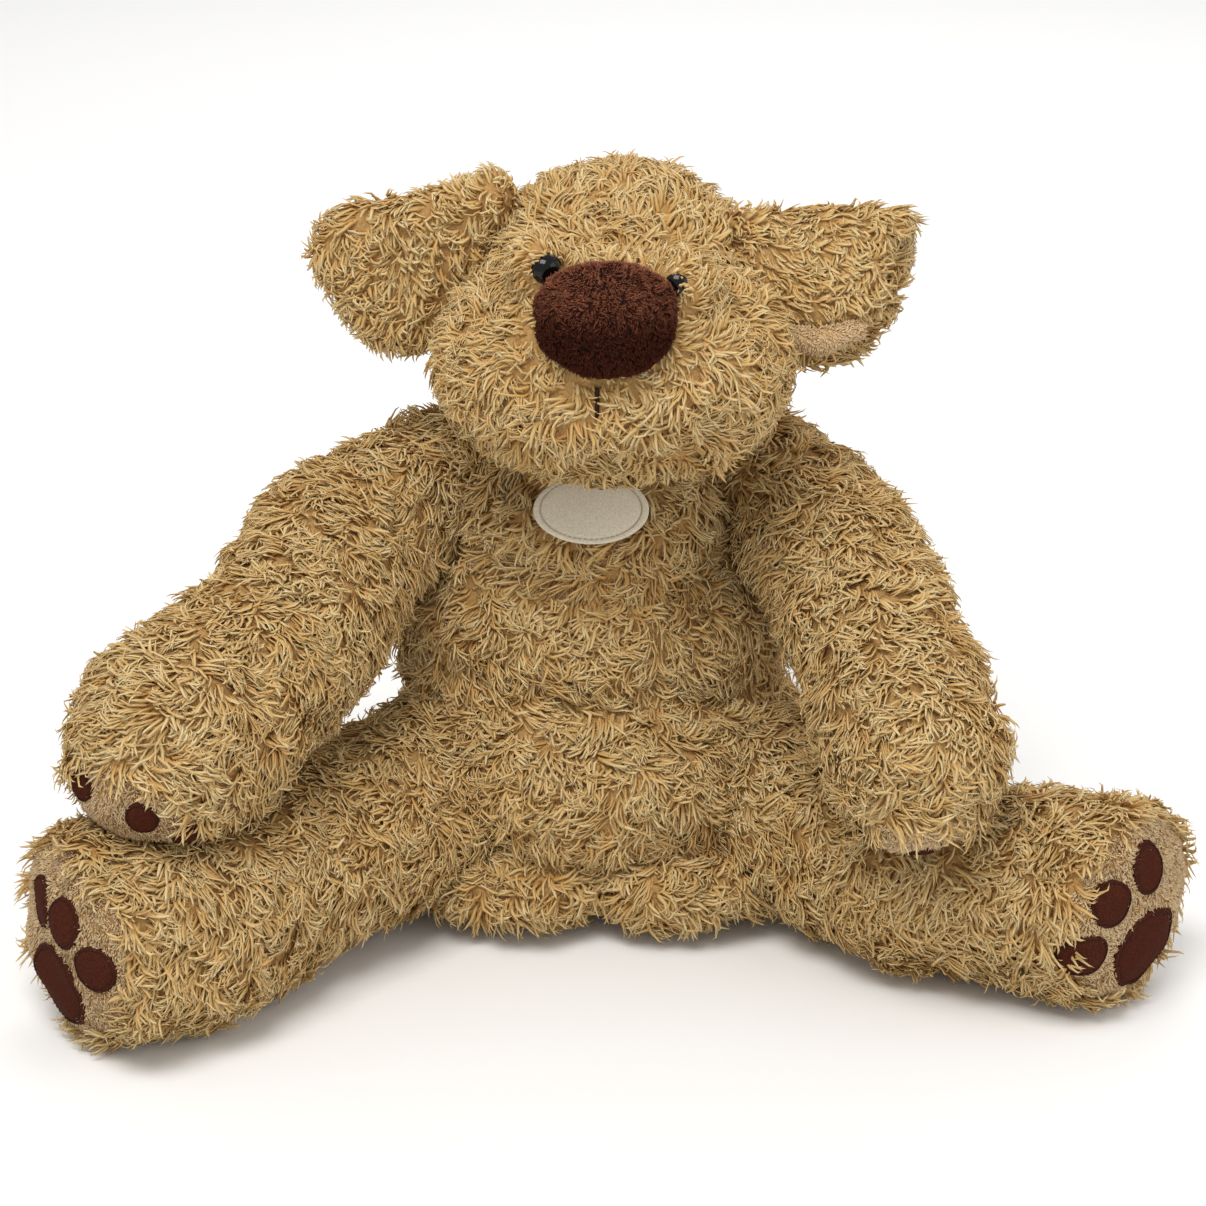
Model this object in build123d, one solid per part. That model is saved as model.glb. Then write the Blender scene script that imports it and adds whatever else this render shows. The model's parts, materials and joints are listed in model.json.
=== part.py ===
from build123d import *
from math import acos, asin, atan2, cos, pi, radians, sin, sqrt, tan
import os

# A sitting plush dog. Millimetres, +Z up, the dog faces -Y, and +X is its own left-hand side.
# The origin is on the floor under the middle of the seat. "left" and "right" in the node names
# are the sides that a person facing the toy sees, so left pieces have negative X.

# ---- driving dimensions ----
COVER = 5.0              # backing cloth with its dense pile; the loose tips stand beyond it
GAP = 0.6                # room round every piece that turns in a socket
SOCKET_REACH = 90        # how far a socket's mouth is carried outwards
THREAD = 1.6             # diameter of sewing and embroidery thread
PAD = 1.2                # thickness of the suede pads

TORSO_BASE = (0, -24, 0)
TORSO_LEAN = 10.3        # degrees, the back leans away from the belly
# rounded rims of the seat and of the shoulders: distance from the leaning axis, height, radius
TORSO_RIMS = [(33, 33, 42), (26, 133, 30)]
SIDE_SEAM_Y = -12        # plane between the front and the back panels

NECK = (0, 6, 168)
NECK_R = 20

CRANIUM = (4, -8, 220)
CRANIUM_HALF_WIDTH, CRANIUM_R = 57, 49.5
MUZZLE = (1, -52, 215.5)
MUZZLE_HALF_WIDTH, MUZZLE_R = 64, 45
CHIN_SEAM_Z = 200
GUSSET_HALF_WIDTH = 15

NOSE = (1, -92, 245)
NOSE_HALF_WIDTH, NOSE_R = 24.5, 19.5
NOSE_COVER = 2.5

EYE_R = 5.6
EYE_PLACES = {"left": (-19.6, 58.5), "right": (25.0, 51)}   # X, and degrees up round the muzzle
SHANK_R, SHANK_LENGTH = 1.6, 11
WASHER_R, WASHER_T = 8, 1.4
MOUTH_X = -2
MOUTH_ARC = (-8, 6)      # degrees round the muzzle

EAR_Y = -12
EAR_T = 14
EAR_FILLET = 4
EAR_SWING = 28           # degrees forward and back
EAR_LINING_T = 4
EARS = {
    "left": {
        "outline": [(-40, 262), (-62, 266), (-88, 258), (-100, 247), (-92, 226), (-79, 209), (-58, 208)],
        "hinge": ((-52, EAR_Y, 207), (-38, EAR_Y, 258)),
    },
    "right": {
        "outline": [(46, 252), (92, 257), (111, 258), (109, 234), (101, 214), (86, 199), (68, 203), (56, 216)],
        "hinge": ((57, EAR_Y, 207), (43, EAR_Y, 256)),
    },
}

# "rest" is the height of the flat under each paw, just above the legs. "sole" points out of the middle of
# the short-pile sole, "toes" at the toe pads on the ball of the paw, and "toes_under" are places from the
# paw's middle of those on the flat.
ARMS = {
    "left": {
        "shoulder": (-60, 4, 146), "elbow": (-98, -48, 131), "paw": (-143, -124, 100),
        "radii": (30, 34, 40), "rest": 83, "sole": (-0.42, -0.66, -0.62),
        "toes": [(-0.87, -0.43, -0.23), (-0.48, -0.82, -0.30)], "toes_under": [(3, -26)],
    },
    "right": {
        "shoulder": (60, 4, 146), "elbow": (94, -46, 129), "paw": (108, -126, 93),
        "radii": (30, 33, 36), "rest": 80, "sole": (0.08, -0.72, -0.69),
        "toes": [], "toes_under": [(-18, -18), (2, -25), (20, -14)],
    },
}
PAW_SOLE_START = 0.76    # share of the paw's radius where the short pile begins
PAW_TOE_R = 6.5
PAW_MAIN_R = 10
SHOULDER_FLARE = 17      # degrees, half the angle of the shoulder socket's mouth

HIP_R = 32
FOOT_EDGE_R = 10         # rounding between the side of the foot and its sole
FOOT_DOME_R = 75         # the sole bulges as part of a large ball
LEG_SPLAY = (-10, 12)    # degrees, inwards and outwards
LEGS = {
    "left": {
        "hip": (-52, -26, 34), "ankle": (-153, -128, 40), "ankle_r": 37,
        "foot": (-179, -142, 40.6), "foot_r": 40.8, "twist": -25,
    },
    "right": {
        "hip": (52, -26, 34), "ankle": (152, -100, 37), "ankle_r": 34,
        "foot": (176, -119, 38), "foot_r": 38.2, "twist": 0,
    },
}
FOOT_TOE_R = 8
FOOT_MAIN_R = 15.5
TOE_RING = 26
TOE_SPREAD = 48          # degrees between toe pads
MAIN_PAD_DROP = 9        # from the middle of the sole to the middle of its main pad
SOLE_DEPTH = 6           # from the middle of the foot's rim to the seam of its sole

TAIL_ROOT = (0, 53, 40)
TAIL_TIP = (0, 84, 58)
TAIL_R = 11.5
TAIL_SWING = 25

TAG_CENTRE = (-3, -54, 155.5)
TAG_HALF = (20.5, 12)
TAG_T = 1.6
TAG_TILT = 57            # degrees from the floor, lying back against the chest

BAG_CENTRE = (0, 14, 30)
BAG_R, BAG_HEIGHT, BAG_ROUND = 25, 40, 12
BAG_WALL = 1.5
STITCH_COUNT, STITCH_START, STITCH_STEP, STITCH_WIDTH = 6, 92, 8, 7
BIG = 600


# ---- shapes ----
def toward(start, end):
    return (Vector(*end) - Vector(*start)).normalized()


def beyond(point, direction):
    """Everything past a plane, as one large block."""
    place = Plane(origin=point, z_dir=direction).location
    return place * Box(BIG, BIG, BIG, align=(Align.CENTER, Align.CENTER, Align.MIN))


def turned(solid, pivot, axis, degrees):
    return solid.rotate(Axis(pivot, axis), degrees)


def pod(start, direction, circles):
    """Round about an axis. Each circle of the half outline is (distance from the axis, place along it,
    radius), and a straight side touches each circle and the next."""
    touches = [radians(-90)]
    for (x1, s1, r1), (x2, s2, r2) in zip(circles, circles[1:]):
        length = sqrt((x2 - x1) ** 2 + (s2 - s1) ** 2)
        share = max(-1.0, min(1.0, (r1 - r2) / length))
        touches.append((atan2(s2 - s1, x2 - x1) - acos(share) + pi) % (2 * pi) - pi)
    touches.append(radians(90))
    lines = []
    here = (0, circles[0][1] - circles[0][2])
    first = here
    for (x, s, r), low, high in zip(circles, touches, touches[1:]):
        points = [(x + r * cos(t), s + r * sin(t)) for t in (low, (low + high) / 2, high)]
        if (Vector(*points[0]) - Vector(*here)).length > 1e-6:
            lines.append(Line(here, points[0]))
        lines.append(ThreePointArc(*points))
        here = points[2]
    last = (0, here[1])
    if abs(here[0]) > 1e-6:
        lines.append(Line(here, last))
    lines.append(Line(last, first))
    upright = revolve(make_face(lines), Axis.Y)
    return Plane(origin=start, z_dir=direction).location * Rot(90, 0, 0) * Rot(0, 135, 0) * upright


def capsule(start, end, start_r, end_r):
    """A ball at each end and the cone that touches both."""
    length = (Vector(*end) - Vector(*start)).length
    return pod(start, toward(start, end), [(0, 0, start_r), (0, length, end_r)])


def bolster(centre, half_width, radius):
    """A left-to-right roll with round ends."""
    reach = half_width - radius
    x, y, z = centre
    return capsule((x - reach, y, z), (x + reach, y, z), radius, radius + 0.01)


def torso_solid(inset):
    """The leaning pear shape, cut flat where it sits."""
    lean = Vector(0, sin(radians(TORSO_LEAN)), cos(radians(TORSO_LEAN)))
    pear = pod(TORSO_BASE, lean, [(x, s, r - inset) for x, s, r in TORSO_RIMS])
    return pear & beyond((0, 0, inset), (0, 0, 1))


def side_radius(height):
    """From the leaning axis to the straight side that touches both rims, at a height along the axis."""
    (x1, s1, r1), (x2, s2, r2) = TORSO_RIMS
    narrowing = atan2(x1 - x2, s2 - s1) + asin((r1 - r2) / sqrt((x1 - x2) ** 2 + (s2 - s1) ** 2))
    touch_out, touch_height = x1 + r1 * cos(narrowing), s1 + r1 * sin(narrowing)
    return touch_out - (height - touch_height) * tan(narrowing)


def head_solid(inset):
    cranium = bolster(CRANIUM, CRANIUM_HALF_WIDTH - inset, CRANIUM_R - inset)
    muzzle = bolster(MUZZLE, MUZZLE_HALF_WIDTH - inset, MUZZLE_R - inset)
    return cranium + muzzle


def arm_solid(arm, inset):
    r1, r2, r3 = (r - inset for r in arm["radii"])
    upper = capsule(arm["shoulder"], arm["elbow"], r1, r2)
    fore = capsule(arm["elbow"], arm["paw"], r2 + 1, r3)
    return (upper + fore) & beyond((0, 0, arm["rest"] + inset), (0, 0, 1))


def foot_length(leg):
    return (Vector(*leg["foot"]) - Vector(*leg["ankle"])).length


def dome_centre(leg):
    """Distance from the ankle to the centre of the ball that the sole is part of."""
    rim_out = leg["foot_r"] - FOOT_EDGE_R
    return foot_length(leg) - sqrt((FOOT_DOME_R - FOOT_EDGE_R) ** 2 - rim_out ** 2)


def leg_solid(leg, inset):
    """Ball at the hip, a straight leg, and a foot that widens to a sole that is a shallow dome."""
    shin = capsule(leg["hip"], leg["ankle"], HIP_R - inset, leg["ankle_r"] - inset)
    circles = [
        (0, 0, leg["ankle_r"] + 0.5 - inset),
        (leg["foot_r"] - FOOT_EDGE_R, foot_length(leg), FOOT_EDGE_R - inset),
        (0, dome_centre(leg), FOOT_DOME_R - inset),
    ]
    foot = pod(leg["ankle"], toward(leg["ankle"], leg["foot"]), circles)
    return (shin + foot) & beyond((0, 0, inset), (0, 0, 1))


def socket(pivot, direction, radius, flare):
    """Room for a ball and the limb that leaves it, wide enough for the limb to swing."""
    angle = radians(flare)
    leave = (radius * cos(angle), -radius * sin(angle))
    mouth = (leave[0] + SOCKET_REACH * sin(angle), leave[1] + SOCKET_REACH * cos(angle))
    middle = radians(90 + flare) / 2
    lines = [
        ThreePointArc((0, -radius), (radius * sin(middle), -radius * cos(middle)), leave),
        Line(leave, mouth),
        Line(mouth, (0, mouth[1])),
        Line((0, mouth[1]), (0, -radius)),
    ]
    upright = revolve(make_face(lines), Axis.Y)
    return Plane(origin=pivot, z_dir=direction).location * Rot(90, 0, 0) * Rot(0, 135, 0) * upright


def cut(solid, tools):
    for tool in tools:
        solid = solid - tool
    return solid


def surface_pad(ball_centre, ball_r, direction, outline, spin=0):
    """A flat patch wrapped on a ball: the part of a thin shell inside an outline pushed along it."""
    place = Plane(origin=ball_centre, z_dir=direction).location * Rot(0, 0, spin)
    column = place * extrude(outline, ball_r + 10)
    centre = Pos(*ball_centre)
    return column & (centre * Sphere(ball_r + PAD) - centre * Sphere(ball_r))


def under_pad(arm, offset, radius):
    """A round patch on the flat underside of a paw."""
    x, y = arm["paw"][0] + offset[0], arm["paw"][1] + offset[1]
    return Pos(x, y, arm["rest"]) * Cylinder(radius, PAD, align=(Align.CENTER, Align.CENTER, Align.MAX))


def aside(direction, right, up, offset):
    """A unit direction tipped from another by two angles' tangents."""
    return (direction + right * offset[0] + up * offset[1]).normalized()


# ---- torso ----
parts = {}

sockets = [Pos(*NECK) * Sphere(NECK_R + GAP)]
neck_room = sockets[0]
for arm in ARMS.values():
    up_and_out = toward(arm["shoulder"], arm["elbow"]) + Vector(0, 0, 0.2)
    sockets.append(socket(arm["shoulder"], up_and_out, arm["radii"][0] + GAP, SHOULDER_FLARE))
for leg in LEGS.values():
    sockets.append(socket(leg["hip"], toward(leg["hip"], leg["ankle"]), HIP_R + GAP, LEG_SPLAY[1] + 2))
sockets.append(socket(TAIL_ROOT, toward(TAIL_ROOT, TAIL_TIP), TAIL_R + GAP, TAIL_SWING + 2))

torso_inner = torso_solid(COVER)
torso_cover = cut(torso_solid(0), sockets) - torso_inner
front = beyond((0, SIDE_SEAM_Y, 0), (0, -1, 0))
back = beyond((0, SIDE_SEAM_Y, 0), (0, 1, 0))
halves = {"left": beyond((0, 0, 0), (-1, 0, 0)), "right": beyond((0, 0, 0), (1, 0, 0))}
for side, half in halves.items():
    parts[f"torso_front_{side}_panel"] = torso_cover & front & half
    parts[f"torso_back_{side}_panel"] = torso_cover & back & half


def rounded_drum(radius, height, rounding):
    drum = Pos(*BAG_CENTRE) * Cylinder(radius, height)
    return fillet(drum.edges().filter_by(GeomType.CIRCLE), rounding)


bag_outer = rounded_drum(BAG_R, BAG_HEIGHT, BAG_ROUND)
pellets = rounded_drum(BAG_R - BAG_WALL, BAG_HEIGHT - 2 * BAG_WALL, BAG_ROUND - BAG_WALL)
parts["pellet_bag"] = bag_outer - pellets
parts["pellets"] = pellets
parts["torso_stuffing"] = cut(torso_inner, sockets) - bag_outer

# closing seam down the middle of the back, where the toy was stuffed and sewn shut by hand
stitches = []
for index in range(STITCH_COUNT):
    height = STITCH_START + STITCH_STEP * index
    level = Pos(*TORSO_BASE) * Rot(-TORSO_LEAN, 0, 0) * Pos(0, 0, height)
    out = side_radius(height) + THREAD / 2
    stitches.append(level * Pos(0, out, 0) * Rot(0, 90, 0) * Cylinder(THREAD / 2, STITCH_WIDTH))
parts["back_closing_stitches"] = Compound(stitches)

tag_place = Pos(*TAG_CENTRE) * Rot(TAG_TILT, 0, 0)
tag_face = Ellipse(*TAG_HALF)
parts["name_tag"] = tag_place * extrude(tag_face, TAG_T)
rim = Ellipse(TAG_HALF[0] - 1, TAG_HALF[1] - 1) - Ellipse(TAG_HALF[0] - 2.2, TAG_HALF[1] - 2.2)
parts["name_tag_stitching"] = tag_place * Pos(0, 0, TAG_T) * extrude(rim, 0.6)

# ---- neck ----
parts["neck_stuffing"] = Pos(*NECK) * Sphere(NECK_R)

# ---- head ----
head_outer = head_solid(0)
head_inner = head_solid(COVER)
nose_outer = bolster(NOSE, NOSE_HALF_WIDTH, NOSE_R) - head_outer
nose_inner = bolster(NOSE, NOSE_HALF_WIDTH - NOSE_COVER, NOSE_R - NOSE_COVER) - head_outer

shanks = []
washer_pockets = []
for side, (eye_x, lift) in EYE_PLACES.items():
    past = max(0, abs(eye_x - MUZZLE[0]) - (MUZZLE_HALF_WIDTH - MUZZLE_R))
    side_lean = (1 if eye_x > MUZZLE[0] else -1) * past / MUZZLE_R
    forward = sqrt(1 - side_lean ** 2)
    normal = Vector(side_lean, -forward * cos(radians(lift)), forward * sin(radians(lift)))
    spot = Vector(eye_x, *MUZZLE[1:]) + Vector(0, normal.Y, normal.Z) * MUZZLE_R
    place = Plane(origin=tuple(spot), z_dir=normal).location
    inward = Align.CENTER, Align.CENTER, Align.MAX
    dome = place * Pos(0, 0, 2) * Sphere(EYE_R) & beyond(tuple(spot), normal)
    shank = place * Cylinder(SHANK_R, SHANK_LENGTH, align=inward)
    washer = place * Pos(0, 0, -COVER) * Cylinder(WASHER_R, WASHER_T, align=inward)
    parts[f"{side}_eye_button"] = (dome - head_outer - nose_outer) + shank
    parts[f"{side}_eye_washer"] = washer & head_inner
    parts[f"{side}_eye_washer"] -= shank
    shanks.append(shank)
    washer_pockets.append(washer)

head_cover = cut(head_outer - head_inner, [neck_room] + shanks)
chin_side = beyond((0, 0, CHIN_SEAM_Z), (0, 0, -1))
crown_side = beyond((0, 0, CHIN_SEAM_Z), (0, 0, 1))
gusset_left = MUZZLE[0] - GUSSET_HALF_WIDTH
gusset_right = MUZZLE[0] + GUSSET_HALF_WIDTH
left_of = beyond((gusset_left, 0, 0), (-1, 0, 0))
right_of = beyond((gusset_right, 0, 0), (1, 0, 0))
parts["head_chin_panel"] = head_cover & chin_side
parts["head_left_face_panel"] = head_cover & crown_side & left_of
parts["head_right_face_panel"] = head_cover & crown_side & right_of
parts["head_centre_gusset"] = (head_cover & crown_side) - left_of - right_of
parts["head_stuffing"] = cut(head_inner, [neck_room] + shanks + washer_pockets)
parts["nose_cover"] = nose_outer - nose_inner
parts["nose_stuffing"] = nose_inner
stitch_ring = Pos(MOUTH_X, MUZZLE_R + THREAD / 2, 0) * Circle(THREAD / 2)
stitch = revolve(stitch_ring, Axis.X, MOUTH_ARC[1] - MOUTH_ARC[0])
parts["mouth_stitch"] = Pos(0, MUZZLE[1], MUZZLE[2]) * Rot(180 - MOUTH_ARC[1], 0, 0) * stitch

# ---- ears ----
head_room = head_solid(-GAP)
for side, ear in EARS.items():
    outline = make_face(Polyline(*ear["outline"], close=True))
    outline = fillet(outline.vertices(), EAR_FILLET)
    slab = extrude(Plane.XZ * outline, EAR_T / 2, both=True)
    slab = Pos(0, EAR_Y, 0) * slab
    foot, top = ear["hinge"]
    axis = toward(foot, top)
    for angle in (-EAR_SWING, 0, EAR_SWING):
        slab = slab - turned(head_room, foot, tuple(axis), angle)
    lining_side = beyond((0, EAR_Y + EAR_T / 2 - EAR_LINING_T, 0), (0, 1, 0))
    parts[f"{side}_ear_outer"] = slab - lining_side
    parts[f"{side}_ear_lining"] = slab & lining_side

# ---- arms ----
for side, arm in ARMS.items():
    outer = arm_solid(arm, 0)
    inner = arm_solid(arm, COVER)
    cover = outer - inner
    along = toward(arm["shoulder"], arm["paw"])
    across = along.cross(Vector(0, 0, 1)).normalized()
    sole = Vector(*arm["sole"]).normalized()
    sole_plane = Vector(*arm["paw"]) + sole * (arm["radii"][2] * PAW_SOLE_START)
    sole_side = beyond(tuple(sole_plane), sole)
    one_side = beyond(arm["paw"], across)
    fur = cover - sole_side
    parts[f"{side}_arm_front_panel"] = fur & one_side
    parts[f"{side}_arm_back_panel"] = fur - one_side
    parts[f"{side}_paw_sole"] = cover & sole_side
    parts[f"{side}_arm_stuffing"] = inner

    above_rest = beyond((0, 0, arm["rest"]), (0, 0, 1))
    pads = []
    for toe in arm["toes"]:
        direction = Vector(*toe).normalized()
        pads.append(surface_pad(arm["paw"], arm["radii"][2], direction, Circle(PAW_TOE_R)) & above_rest)
    for offset in arm["toes_under"]:
        pads.append(under_pad(arm, offset, PAW_TOE_R))
    parts[f"{side}_paw_toe_pads"] = Compound(pads)
    parts[f"{side}_paw_main_pad"] = under_pad(arm, (0, 0), PAW_MAIN_R)

# ---- legs ----
for side, leg in LEGS.items():
    outer = leg_solid(leg, 0)
    inner = leg_solid(leg, COVER)
    cover = outer - inner
    along = toward(leg["ankle"], leg["foot"])
    sole_side = beyond(tuple(Vector(*leg["ankle"]) + along * (foot_length(leg) + SOLE_DEPTH)), along)
    reach = toward(leg["hip"], leg["foot"])
    top_side = beyond(leg["hip"], reach.cross(Vector(0, 0, 1)).cross(reach))
    fur = cover - sole_side
    parts[f"{side}_leg_top_panel"] = fur & top_side
    parts[f"{side}_leg_bottom_panel"] = fur - top_side
    parts[f"{side}_foot_sole"] = cover & sole_side
    parts[f"{side}_leg_stuffing"] = inner

    right = Vector(0, 0, 1).cross(along).normalized()
    up = along.cross(right).normalized()
    ball = Vector(*leg["ankle"]) + along * dome_centre(leg)
    middle_angle = radians(90 + leg["twist"])
    drop = MAIN_PAD_DROP / FOOT_DOME_R
    main_at = (-drop * cos(middle_angle), -drop * sin(middle_angle))
    toes = []
    for step in (-1, 0, 1):
        angle = middle_angle + radians(TOE_SPREAD * step)
        offset = (
            main_at[0] + TOE_RING * cos(angle) / FOOT_DOME_R,
            main_at[1] + TOE_RING * sin(angle) / FOOT_DOME_R,
        )
        direction = aside(along, right, up, offset)
        toes.append(surface_pad(tuple(ball), FOOT_DOME_R, direction, Circle(FOOT_TOE_R)))
    parts[f"{side}_foot_toe_pads"] = Compound(toes)
    main_direction = aside(along, right, up, main_at)
    parts[f"{side}_foot_main_pad"] = surface_pad(tuple(ball), FOOT_DOME_R, main_direction, Circle(FOOT_MAIN_R))

# ---- tail ----
tail_inner = capsule(TAIL_ROOT, TAIL_TIP, TAIL_R - COVER / 2, TAIL_R - COVER / 2)
parts["tail_cover"] = capsule(TAIL_ROOT, TAIL_TIP, TAIL_R, TAIL_R) - tail_inner
parts["tail_stuffing"] = tail_inner

SLIVER = 1.0             # solids under this volume are crumbs of a cut, not pieces
os.makedirs("parts", exist_ok=True)
for name, shape in parts.items():
    solids = [solid for solid in shape.solids() if solid.volume > SLIVER]
    export_step(solids[0] if len(solids) == 1 else Compound(solids), f"parts/{name}.step")
print(len(parts), "nodes")
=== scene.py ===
import json
import math

import bmesh
import bpy
import numpy as np
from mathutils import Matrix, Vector
from mathutils.bvhtree import BVHTree

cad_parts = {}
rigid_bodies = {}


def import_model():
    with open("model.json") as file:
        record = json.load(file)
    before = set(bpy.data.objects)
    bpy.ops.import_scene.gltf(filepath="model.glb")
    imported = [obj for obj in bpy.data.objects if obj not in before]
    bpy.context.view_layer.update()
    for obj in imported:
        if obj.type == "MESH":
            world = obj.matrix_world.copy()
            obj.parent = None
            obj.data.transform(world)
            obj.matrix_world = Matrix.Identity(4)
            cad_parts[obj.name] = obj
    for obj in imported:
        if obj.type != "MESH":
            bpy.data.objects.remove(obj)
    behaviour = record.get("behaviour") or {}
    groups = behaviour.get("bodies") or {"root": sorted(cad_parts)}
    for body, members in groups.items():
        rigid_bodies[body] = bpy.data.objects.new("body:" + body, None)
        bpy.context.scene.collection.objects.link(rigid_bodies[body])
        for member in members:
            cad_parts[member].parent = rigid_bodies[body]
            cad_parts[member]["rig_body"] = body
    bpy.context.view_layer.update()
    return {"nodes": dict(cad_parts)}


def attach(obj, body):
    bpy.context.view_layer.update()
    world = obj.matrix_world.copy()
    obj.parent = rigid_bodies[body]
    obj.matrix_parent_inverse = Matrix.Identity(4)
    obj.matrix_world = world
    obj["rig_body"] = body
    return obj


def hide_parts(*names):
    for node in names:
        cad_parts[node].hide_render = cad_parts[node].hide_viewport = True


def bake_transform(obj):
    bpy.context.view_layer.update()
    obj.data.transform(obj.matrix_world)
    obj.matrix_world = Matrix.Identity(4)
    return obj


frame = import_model()
scene = bpy.context.scene
# Sizes and places below are in mm unless a comment says otherwise; meshes are stored in metres.
# "left" and "right" are the sides that a person facing the toy sees.
MM = 0.001
FLOOR_CLEAR = 0.6        # the lowest any cloth or pile lies over the floor
CELL_HASH = np.array([73856093, 19349663, 83492791])     # large primes that number the cells of a grid


# ---------------------------------------------------------------- camera, light, floor
CAMERA_AT = (0, -1.2326, 0.6468)     # metres
CAMERA_TILT = 66                     # degrees up from straight down

camera_data = bpy.data.cameras.new("camera")
camera = bpy.data.objects.new("camera", camera_data)
scene.collection.objects.link(camera)
camera.location = CAMERA_AT
camera.rotation_euler = (math.radians(CAMERA_TILT), 0, 0)
camera_data.lens = 107.8
camera_data.sensor_width = 36
scene.camera = camera
scene.view_settings.view_transform = "Standard"

world = bpy.data.worlds.new("studio")
scene.world = world
world.use_nodes = True
world.node_tree.nodes["Background"].inputs[0].default_value = (1.0, 0.995, 0.985, 1)
world.node_tree.nodes["Background"].inputs[1].default_value = 0.66


def area_light(name, place, target, size, power, colour):
    """A rectangular lamp at a place, turned to a target, both in metres."""
    data = bpy.data.lights.new(name, "AREA")
    data.shape = "RECTANGLE"
    data.size, data.size_y = size
    data.energy = power
    data.color = colour
    light = bpy.data.objects.new(name, data)
    scene.collection.objects.link(light)
    light.location = place
    light.rotation_euler = (Vector(target) - Vector(place)).to_track_quat("-Z", "Y").to_euler()


area_light("key", (-0.3, -0.75, 1.55), (0, 0, 0.12), (0.9, 0.7), 18.7, (1.0, 0.98, 0.95))
area_light("fill", (1.3, -0.6, 0.7), (0, 0, 0.1), (1.0, 1.0), 4.5, (0.97, 0.98, 1.0))
area_light("back", (0.2, 1.2, 1.0), (0, 0, 0.15), (1.2, 0.8), 6, (1.0, 1.0, 1.0))


def nodes_of(material):
    """A material's node tree and its main shader."""
    material.use_nodes = True
    tree = material.node_tree
    return tree, tree.nodes["Principled BSDF"]


floor_mesh = bpy.data.meshes.new("floor")
reach = 6        # metres from the middle to each side of the floor
floor_mesh.from_pydata(
    [(-reach, -reach, 0), (reach, -reach, 0), (reach, reach, 0), (-reach, reach, 0)], [], [(0, 1, 2, 3)])
floor = bpy.data.objects.new("floor", floor_mesh)
scene.collection.objects.link(floor)
floor_material = bpy.data.materials.new("floor")
floor_shader = nodes_of(floor_material)[1]
floor_shader.inputs["Base Color"].default_value = (0.86, 0.86, 0.86, 1)
floor_shader.inputs["Roughness"].default_value = 0.9
floor_mesh.materials.append(floor_material)


# ---------------------------------------------------------------- smooth random fields
def field(seed, wavelength, count=7):
    """A smooth random function of points, about -1 to 1: a sum of plane waves near one wavelength."""
    rng = np.random.default_rng(seed)
    waves = rng.normal(size=(count, 3))
    waves *= (2 * math.pi / wavelength) / np.linalg.norm(waves, axis=1)[:, None]
    waves *= rng.uniform(0.6, 1.4, count)[:, None]
    phases = rng.uniform(0, 2 * math.pi, count)
    return lambda p: np.sin(p @ waves.T + phases).sum(1) / math.sqrt(count) * 0.9


def unit(v):
    """The same directions, one long."""
    return v / np.maximum(np.linalg.norm(v, axis=-1, keepdims=True), 1e-9)


# ---------------------------------------------------------------- stuffed forms
def dots_of_ball():
    """Points spread evenly over a ball of radius 1."""
    bm = bmesh.new()
    bmesh.ops.create_icosphere(bm, subdivisions=3, radius=1)
    dots = np.array([v.co[:] for v in bm.verts])
    bm.free()
    return dots


BALL_DOTS = dots_of_ball()


def hull(*balls):
    """Points whose tight skin wraps some balls, each (x, y, z, radius)."""
    return np.concatenate([np.array(b[:3]) + BALL_DOTS * b[3] for b in balls])


def egg(centre, radii, tilt=0.0):
    """Points of an ellipsoid, tilted about X by some degrees."""
    c, s = math.cos(math.radians(tilt)), math.sin(math.radians(tilt))
    turn = np.array([[1, 0, 0], [0, c, -s], [0, s, c]])
    return (BALL_DOTS * np.array(radii)) @ turn.T + np.array(centre)


def stuffed(name, lumps, voxel=3.5, smoothing=10):
    """Joins the lumps, each a cloud of points, under one smooth skin."""
    verts, faces = [], []
    for points in lumps:
        bm = bmesh.new()
        for point in points:
            bm.verts.new(point)
        result = bmesh.ops.convex_hull(bm, input=bm.verts)
        inner = [g for g in result["geom_interior"] if isinstance(g, bmesh.types.BMVert)]
        bmesh.ops.delete(bm, geom=inner)
        bm.verts.index_update()
        start = len(verts)
        verts += [v.co[:] for v in bm.verts]
        faces += [[start + v.index for v in f.verts] for f in bm.faces]
        bm.free()
    mesh = bpy.data.meshes.new(name)
    mesh.from_pydata([tuple(c * MM for c in v) for v in verts], [], faces)
    piece = bpy.data.objects.new(name, mesh)
    scene.collection.objects.link(piece)
    remesh = piece.modifiers.new("remesh", "REMESH")
    remesh.mode = "VOXEL"
    remesh.voxel_size = voxel * MM
    remesh.use_smooth_shade = True
    smooth = piece.modifiers.new("smooth", "SMOOTH")
    smooth.factor = 0.5
    smooth.iterations = smoothing
    return settle(piece)


def settle(piece):
    """Applies a piece's modifiers."""
    graph = bpy.context.evaluated_depsgraph_get()
    made = bpy.data.meshes.new_from_object(piece.evaluated_get(graph))
    old = piece.data
    piece.modifiers.clear()
    piece.data = made
    made.name = old.name
    bpy.data.meshes.remove(old)
    return piece


def points_of(piece):
    """A piece's vertices as an array, in mm."""
    co = np.empty(len(piece.data.vertices) * 3)
    piece.data.vertices.foreach_get("co", co)
    return co.reshape(-1, 3) / MM


def normals_of(piece):
    no = np.empty(len(piece.data.vertices) * 3)
    piece.data.vertices.foreach_get("normal", no)
    return no.reshape(-1, 3)


def reshape(piece, points):
    piece.data.vertices.foreach_set("co", (points * MM).astype(np.float32).ravel())
    piece.data.update()


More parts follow.
